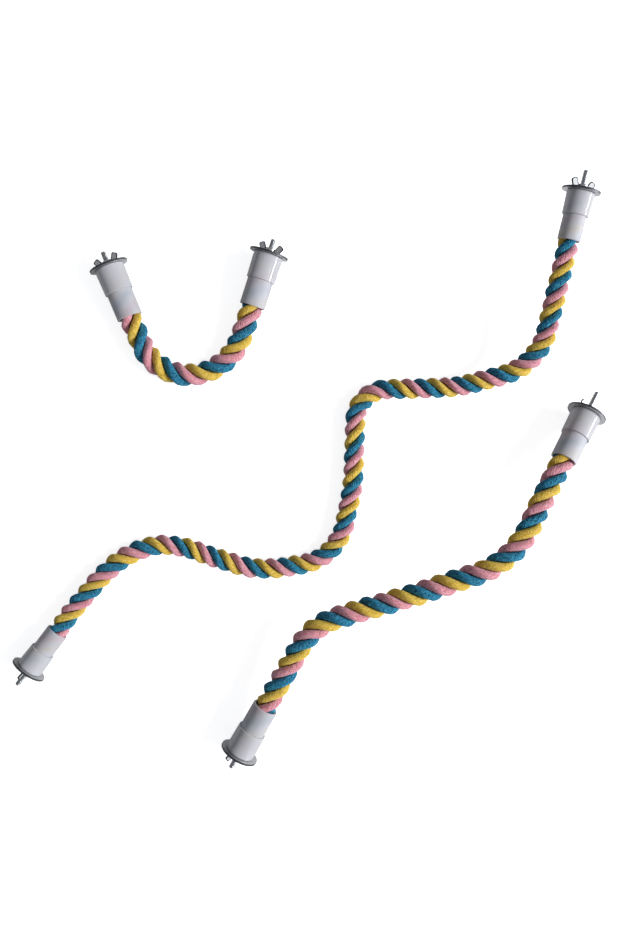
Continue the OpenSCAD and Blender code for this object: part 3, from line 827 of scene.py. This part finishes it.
def milky_plastic(name, body, shade, tint_strength, roughness, draw_lines):
    """Soft milky plastic: pale, a little light passes through, and the rope's dyes show faintly."""
    material, tree = empty_material(name)
    uv = add_node(tree, "ShaderNodeUVMap", uv_map=TINT_MAP)
    parts = add_node(tree, "ShaderNodeSeparateXYZ", {"Vector": uv}).outputs
    turn = add_node(tree, "ShaderNodeMath", {0: parts["X"]}, operation="FRACT")
    bands = add_node(tree, "ShaderNodeValToRGB", {"Fac": turn})
    ramp = bands.color_ramp
    ramp.elements[0].color = ramp.elements[1].color = linear(PINK_TINT)
    for sixth, hex_code in enumerate((body, YELLOW_TINT, body, BLUE_TINT, body), 1):
        ramp.elements.new(sixth / 6).color = linear(hex_code)
    place = add_node(tree, "ShaderNodeTexCoord").outputs["Object"]
    clouds = add_node(tree, "ShaderNodeTexNoise", {"Vector": place, "Scale": 70, "Detail": 2})
    milk = add_node(tree, "ShaderNodeMix", {
        SHARE: clouds, FROM: linear(body), TO: linear(shade)}, data_type="RGBA")
    # A strand touches the wall only here and there, in patches of some 9 mm
    touching = add_node(tree, "ShaderNodeTexNoise", {"Vector": place, "Scale": 110, "Detail": 1})
    touch = add_node(tree, "ShaderNodeMapRange", {
        "Value": touching, "From Min": 0.35, "From Max": 0.65,
        "To Min": 0.25 * tint_strength, "To Max": tint_strength})
    strength = add_node(tree, "ShaderNodeMath", {0: parts["Y"], 1: touch}, operation="MULTIPLY")
    tinted = add_node(tree, "ShaderNodeMix", {SHARE: strength, FROM: milk, TO: bands},
                      data_type="RGBA")
    line_place = add_node(tree, "ShaderNodeMapping", {"Vector": uv, "Scale": draw_lines})
    lines = add_node(tree, "ShaderNodeTexNoise", {"Vector": line_place, "Scale": 1, "Detail": 3})
    rough = add_node(tree, "ShaderNodeMapRange", {
        "Value": lines, "From Min": 0.3, "From Max": 0.7,
        "To Min": roughness - 0.04, "To Max": roughness + 0.06})
    relief = add_node(tree, "ShaderNodeBump", {
        "Strength": 0.06, "Distance": 0.05 * MM, "Height": lines})
    plastic = add_node(tree, "ShaderNodeBsdfPrincipled", {
        "Base Color": tinted, "Roughness": rough, "IOR": 1.5, "Subsurface Weight": 0.3,
        "Subsurface Radius": (1, 1, 1.1), "Subsurface Scale": 1.2 * MM, "Normal": relief})
    return finish_material(material, plastic)


SLEEVE_PLASTIC = milky_plastic("extruded_milky_tube", "#c0c0c6", "#b5b6bc", 0.22, 0.55, (60, 2, 1))
CAP_PLASTIC = milky_plastic("moulded_milky_cap", "#c3c3c8", "#b9babf", 0.1, 0.09, (12, 12, 1))

# %% Sleeves and caps
TINT_FADE = 6


def tint_map(piece, end):
    """Turn round the rope less the strands' own turn, and how much the strands show through."""
    perch, mesh, at_start = end["perch"], piece.data, end["at_start"]
    sign = 1 if perch["colours"][1] == "yellow" else -1
    values = np.zeros((len(mesh.loops), 2))
    for face in mesh.polygons:
        first = None
        for i in face.loop_indices:
            x, y, z = in_place(end, mesh.vertices[mesh.loops[i].vertex_index].co)
            # Local X lies level. Seen along the route it is the side direction, mirrored where
            # the end points against the route.
            round_rope = math.atan2(y, -x if at_start else x)
            s = -z if at_start else perch["length"] + z
            turns = -sign * (round_rope - wound(perch, s)) / (2 * math.pi)
            # A face's corners stay within half a turn of its first one
            first = turns if first is None else first
            values[i] = (turns - round(turns - first),
                         min(max((-z - ROPE_INSET) / TINT_FADE, 0), 1))
    mesh.uv_layers.new(name=TINT_MAP).data.foreach_set("uv", values.ravel())
    mesh.uv_layers.active = mesh.uv_layers[TURNED_MAP]


for end in ENDS:
    kit, prefix = end["kit"], end["prefix"]
    hole, outer = kit["rope"] / 2 + ROPE_GAP, kit["sleeve"] / 2
    sleeve = lathe(f"{prefix}_milky_sleeve", ring_outline(
        hole, outer, -kit["end_len"], -ROPE_INSET, (0.5, 0.7, 0.4, 0.2)), end, SLEEVE_PLASTIC)
    cap_hole = outer + SLEEVE_GAP
    wide, rim, cap_mouth = kit["cap"] / 2, kit["rim"] / 2, -kit["cap_len"]
    cap = lathe(f"{prefix}_stepped_cap", [
        (BORE_R, 0, 0.2), (wide, 0, 1.0), (rim, cap_mouth, 0.45), (cap_hole, cap_mouth, 0.35),
        (cap_hole, -CAP_END, 0.5), (BORE_R, -CAP_END, 0.2)], end, CAP_PLASTIC)
    for piece, node, slot in ((sleeve, "sleeve", "sleeve_plastic"), (cap, "cap", "cap_plastic")):
        tint_map(piece, end)
        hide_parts(f"{prefix}_{node}")
        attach(piece, f"{prefix}_part")
print("sleeves and caps:", 2 * len(ENDS))

# %% [markdown]
# Both washers are punched from sheet. A punch leaves one rounded and one crisp edge, so the
# corners get unlike radii. The rim is sheared and duller. They lie loose on the bolt, between the
# cap and the nut.

# %% Washers
RIM_BAND = 0.12
for end in ENDS:
    prefix, rim_r = end["prefix"], end["kit"]["washer"] / 2
    for place, word in enumerate(("inner", "outer")):
        base = FLAT_GAP + place * (WASHER_THICK + FLAT_GAP)
        piece = lathe(f"{prefix}_{word}_punched_washer", ring_outline(
            BORE_R, rim_r, base, base + WASHER_THICK, (0.1, 0.1, 0.3, 0.25)), end, PUNCHED_WASHER)
        piece.data.materials.append(SHEARED_RIM)
        for face in piece.data.polygons:
            out_from_axis = math.hypot(*in_place(end, face.center)[:2])
            face.material_index = int(out_from_axis > rim_r - RIM_BAND)
        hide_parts(f"{prefix}_{word}_washer")
        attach(piece, f"{prefix}_part" if word == "inner" else f"{prefix}_outer_washer_body")
print("washers:", 2 * len(ENDS))

# %% [markdown]
# A bolt's thread is rolled: a ridge that climbs one pitch a turn. Rings of points go up the bolt,
# and each point's radius follows how far it is from the ridge at its angle, so the ridge comes out
# as one true helix. The head is trapped inside the cap, where it can't turn.

# %% Bolts with a rolled thread
THREAD_SIDES, HEAD_SIDES = 32, 6
STEPS_PER_PITCH = 8
THREAD_START, SHANK_IN_HEAD = 0.3, 0.5
# The thread's map is in millimetres, taken round a circle of this radius
MAP_RADIUS = 3
# The flank's steepness, and where the crest gives way to it
FLANK, CREST = 2.6, 1.1
TIP_CHAMFER, TIP_OVER = 0.9, 0.1
HEAD_DRAWN_IN, HEAD_CHAMFER = 0.93, 0.5


def thread_radius(z, turns, tip):
    if z <= STACK:
        return SHANK_R
    phase = (z / THREAD_PITCH - turns) % 1
    ridge = STUD_R - THREAD_DEPTH * np.clip(FLANK * abs(2 * phase - 1) - CREST, 0, 1)
    return min(ridge, STUD_R + TIP_OVER - max(0, TIP_CHAMFER - (tip - z)))


def bolt(end):
    tip, verts = end["tip"], []
    under_head = -CAP_END - FLAT_GAP
    heights = [under_head - SHANK_IN_HEAD, STACK] + list(
        np.arange(STACK + THREAD_START, tip - 0.001, THREAD_PITCH / STEPS_PER_PITCH)) + [tip]
    for z in heights:
        for i in range(THREAD_SIDES):
            a = 2 * math.pi * i / THREAD_SIDES
            r = thread_radius(z, i / THREAD_SIDES, tip)
            verts.append(placed(end, r, a, z))
    faces = tube_faces(len(heights), THREAD_SIDES)
    # The hexagon head is drawn in at its outer face, as a forged head is chamfered
    faces += tube_faces(3, HEAD_SIDES, len(verts))
    across_corners = HEAD_ACROSS_FLATS / math.cos(math.pi / 6) / 2
    head_end = under_head - HEAD_HIGH
    for z, share in ((head_end, HEAD_DRAWN_IN), (head_end + HEAD_CHAMFER, 1), (under_head, 1)):
        verts += [placed(end, across_corners * share, math.pi / 3 * i, z)
                  for i in range(HEAD_SIDES)]
    piece = make_mesh(f"{end['prefix']}_threaded_bolt", verts, faces, ROLLED_THREAD,
                      smooth_angle=50)
    local = (np.array([v.co for v in piece.data.vertices]) / MM - end["at"]) @ end["turn"]
    loops = np.array([loop.vertex_index for loop in piece.data.loops])
    angle = np.arctan2(local[:, 1], local[:, 0]) * MAP_RADIUS
    piece.data.uv_layers.new(name=TURNED_MAP).data.foreach_set(
        "uv", np.stack([angle[loops], local[loops, 2]], 1).ravel())
    return piece


for end in ENDS:
    piece, prefix = bolt(end), end["prefix"]
    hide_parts(f"{prefix}_bolt")
    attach(piece, f"{prefix}_part")
print("bolts:", len(ENDS), "with", len(piece.data.vertices), "points in the last")

# %% [markdown]
# The wing nut is stamped: a hub from the lathe with two flat tabs that lean outwards. A tab is drawn
# as an outline with round outer corners and given the sheet's thickness, and a bevel takes its edges
# off, as tumbling does. The tab's sides, its bevels and a band beside the edges are painted near
# black and matt, as painted shade and painted dark reflection, which draws a dark line round each
# white wing.

# %% Wing nuts
HUB_R, HUB_HIGH = 4.6, 4.5
WING_WIDE, WING_LONG, WING_THICK, WING_LEAN, WING_CORNER = 6.2, 9.2, 1.5, 31, 1.6
WING_EDGE, WING_BAND = 0.45, 0.8
# The hub's faces have four corners, and a wing's flat sides have more than this many
FLAT_CORNERS = 12


def wing_outline():
    lean = math.radians(WING_LEAN)
    along = np.array((math.sin(lean), math.cos(lean)))
    beside = np.array((math.cos(lean), -math.sin(lean)))
    foot = np.array(((BORE_R + HUB_R) / 2, 0.0))
    shoulder = np.array((foot[0], HUB_HIGH / 2))
    inner = shoulder + along * WING_LONG
    outer = inner + beside * WING_WIDE
    low = outer - along * (outer[1] / math.cos(lean))
    return rounded([(*foot, 0), (*low, 0.6), (*outer, WING_CORNER), (*inner, WING_CORNER),
                    (*shoulder, 0)])


def add_wing(shape, uv, end, base, angle):
    """One tab on a nut's mesh, its rim and bevel in the second material, which paints them dark as
    painted shade.
    """
    turn, at, outline = end["turn"], end["at"], wing_outline()
    reach = np.array((math.cos(angle), math.sin(angle), 0))
    depth = np.array((-math.sin(angle), math.cos(angle), 0))
    back, front = [[shape.verts.new(Vector(
        turn @ (reach * x + depth * t + np.array((0, 0, base + y))) + at) * MM)
        for x, y in outline] for t in (-WING_THICK / 2, WING_THICK / 2)]
    n = len(outline)
    flats = [shape.faces.new(back), shape.faces.new(front[::-1])]
    rim = [shape.faces.new((back[(i + 1) % n], back[i], front[i], front[(i + 1) % n]))
           for i in range(n)]
    for face in rim:
        face.material_index = 1
    for face in flats + rim:
        for loop in face.loops:
            local = in_place(end, loop.vert.co)
            loop[uv].uv = (local @ reach, local[2])
    edges = [e for face in flats for e in face.edges]
    bmesh.ops.bevel(shape, geom=edges, offset=WING_EDGE * MM, segments=3, profile=0.5,
                    affect="EDGES", clamp_overlap=True, material=1)


def wing_nut(end):
    base = STACK + FLAT_GAP
    hub = lathe(f"{end['prefix']}_stamped_wing_nut", ring_outline(
        BORE_R, HUB_R, base, base + HUB_HIGH, (0.3, 0.3, 0.9, 0.5)), end, STAMPED_WING, HUB_SIDES)
    hub.data.materials.append(PAINTED_DARK_EDGE)
    shape = bmesh.new()
    shape.from_mesh(hub.data)
    uv = shape.loops.layers.uv.verify()
    for facing in (0, math.pi):
        add_wing(shape, uv, end, base, math.radians(end["wing_angle"]) + facing)
    flats = [f for f in shape.faces if f.material_index == 0 and len(f.verts) > FLAT_CORNERS]
    # The band beside each wing's edges is painted dark too, as painted shade
    band = bmesh.ops.inset_individual(shape, faces=flats, thickness=WING_BAND * MM)
    for face in band["faces"]:
        face.material_index = 1
    bmesh.ops.recalc_face_normals(shape, faces=shape.faces)
    shape.to_mesh(hub.data)
    shape.free()
    hub.data.shade_smooth()
    hub.data.set_sharp_from_angle(angle=math.radians(40))
    return hub


for end in ENDS:
    piece, prefix = wing_nut(end), end["prefix"]
    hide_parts(f"{prefix}_wing_nut")
    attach(piece, f"{prefix}_wing_nut_body")
print("wing nuts:", len(ENDS), "with", len(piece.data.vertices), "points each")

# %% [markdown]
# A perch can be bent further by hand. In the model each has one place where it would, in the middle
# of one leg, and here that place is found along the rope. The strands and the wire have their
# placement written into their points.

# %% Where the ropes would bend
for perch in PERCHES:
    distance = sum(leg[4] for leg in perch["legs"][:perch["bent_leg"]])
    distance += perch["legs"][perch["bent_leg"]][4] / 2
    at, way = on_route(perch["legs"], distance)
    first_end, second_end = perch["ends"]
    for word in (*perch["colours"], "wire"):
        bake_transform(strands[perch["name"], word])
    print(f"{perch['name']} perch bends {distance:.0f} mm along its rope")
